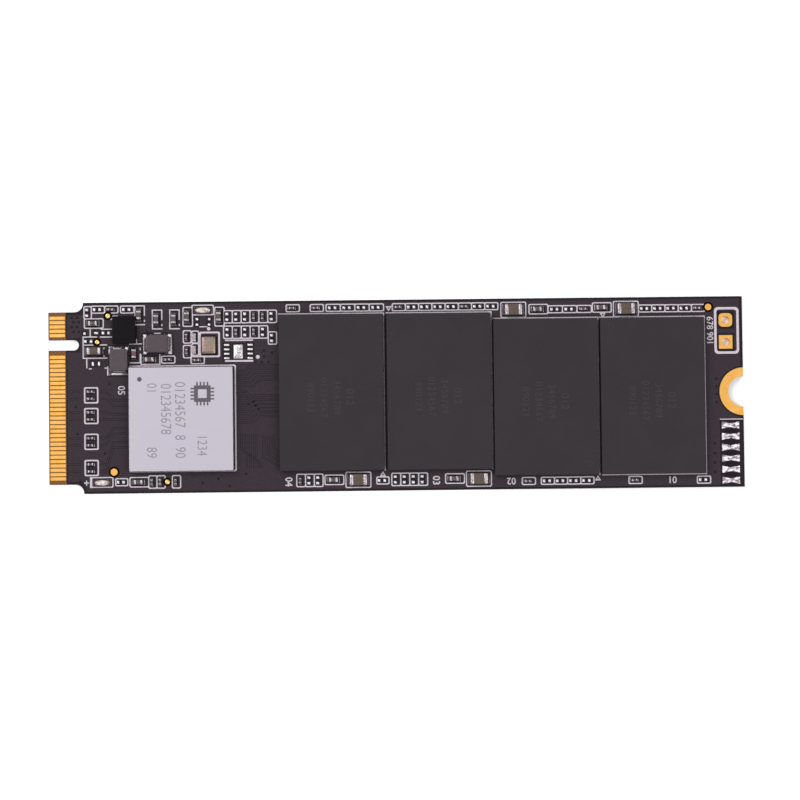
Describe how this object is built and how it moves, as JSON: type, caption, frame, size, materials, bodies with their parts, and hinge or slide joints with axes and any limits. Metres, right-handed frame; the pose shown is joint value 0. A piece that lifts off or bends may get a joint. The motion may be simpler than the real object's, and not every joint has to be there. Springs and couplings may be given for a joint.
{
  "type": "solid state drive",
  "caption": "Bare M.2 2280 solid state drive card with a keyed edge connector, a lidded controller, flat memory packages, small power parts and a half-round screw notch.",
  "frame": {"origin": "the middle of the card's 80 x 22 mm outline, on its flat underside", "axes": "+X along the card from the edge connector to the screw notch, +Y across the card towards the key slot's side, +Z out of the component side"},
  "size_m": [0.08, 0.022, 0.002],
  "materials": {
    "board": "dark glass-epoxy board, satin",
    "solder_mask": "dark purple-brown solder mask, satin",
    "gold": "gold plating, bright",
    "tin": "tinned solder, bright and uneven",
    "ink": "pale legend ink, matt",
    "solder": "reflowed solder, satin",
    "substrate": "dark package substrate",
    "mould": "matt dark moulding compound",
    "silicon": "polished silicon",
    "lid_metal": "nickel-plated lid, satin",
    "compound": "soft thermal compound",
    "chip_black": "black moulding compound",
    "ferrite": "pressed iron powder core, matt grey",
    "copper": "bare copper wire",
    "crystal_ceramic": "cream ceramic base with a gold rim",
    "crystal_metal": "seam-welded lid, warm satin metal",
    "quartz": "clear quartz",
    "capacitor_ceramic": "grey-brown fired ceramic",
    "resistor_ceramic": "pale grey fired ceramic",
    "fuse_ceramic": "dark red fired ceramic",
    "led_plastic": "white moulded base",
    "led_epoxy": "clear epoxy lens"
  },
  "bodies": {
    "root": {"bulk_capacitor_bodies": "capacitor_ceramic", "bulk_capacitor_terminals": "tin", "circuit_board": "board", "component_pads": "tin", "controller_die": "silicon", "controller_lid": "lid_metal", "controller_solder_balls": "solder", "controller_substrate": "substrate", "controller_thermal_compound": "compound", "crystal_base": "crystal_ceramic", "crystal_blank": "quartz", "crystal_lid": "crystal_metal", "debug_pads": "tin", "edge_contacts_bottom": "gold", "edge_contacts_top": "gold", "empty_footprint_pads": "tin", "fuse_bodies": "fuse_ceramic", "fuse_terminals": "tin", "header_hole_round_plating": "gold", "header_hole_square_plating": "gold", "input_capacitor_bodies": "capacitor_ceramic", "input_capacitor_terminals": "tin", "led_bases": "led_plastic", "led_lenses": "led_epoxy", "led_terminals": "tin", "memory_1_die_stack": "silicon", "memory_1_mould_cap": "mould", "memory_1_solder_balls": "solder", "memory_1_substrate": "substrate", "memory_2_die_stack": "silicon", "memory_2_mould_cap": "mould", "memory_2_solder_balls": "solder", "memory_2_substrate": "substrate", "memory_3_die_stack": "silicon", "memory_3_mould_cap": "mould", "memory_3_solder_balls": "solder", "memory_3_substrate": "substrate", "memory_4_die_stack": "silicon", "memory_4_mould_cap": "mould", "memory_4_solder_balls": "solder", "memory_4_substrate": "substrate", "power_chip_body": "chip_black", "power_chip_leads": "tin", "power_inductor_1_coil": "copper", "power_inductor_1_core": "ferrite", "power_inductor_1_terminals": "tin", "power_inductor_2_coil": "copper", "power_inductor_2_core": "ferrite", "power_inductor_2_terminals": "tin", "resistor_bodies": "resistor_ceramic", "resistor_terminals": "tin", "screw_notch_rings": "gold", "silkscreen_legend": "ink", "small_capacitor_bodies": "capacitor_ceramic", "small_capacitor_terminals": "tin", "solder_mask_top": "solder_mask", "test_points": "gold", "tiny_capacitor_bodies": "capacitor_ceramic", "tiny_capacitor_terminals": "tin"}
  },
  "joints": []
}
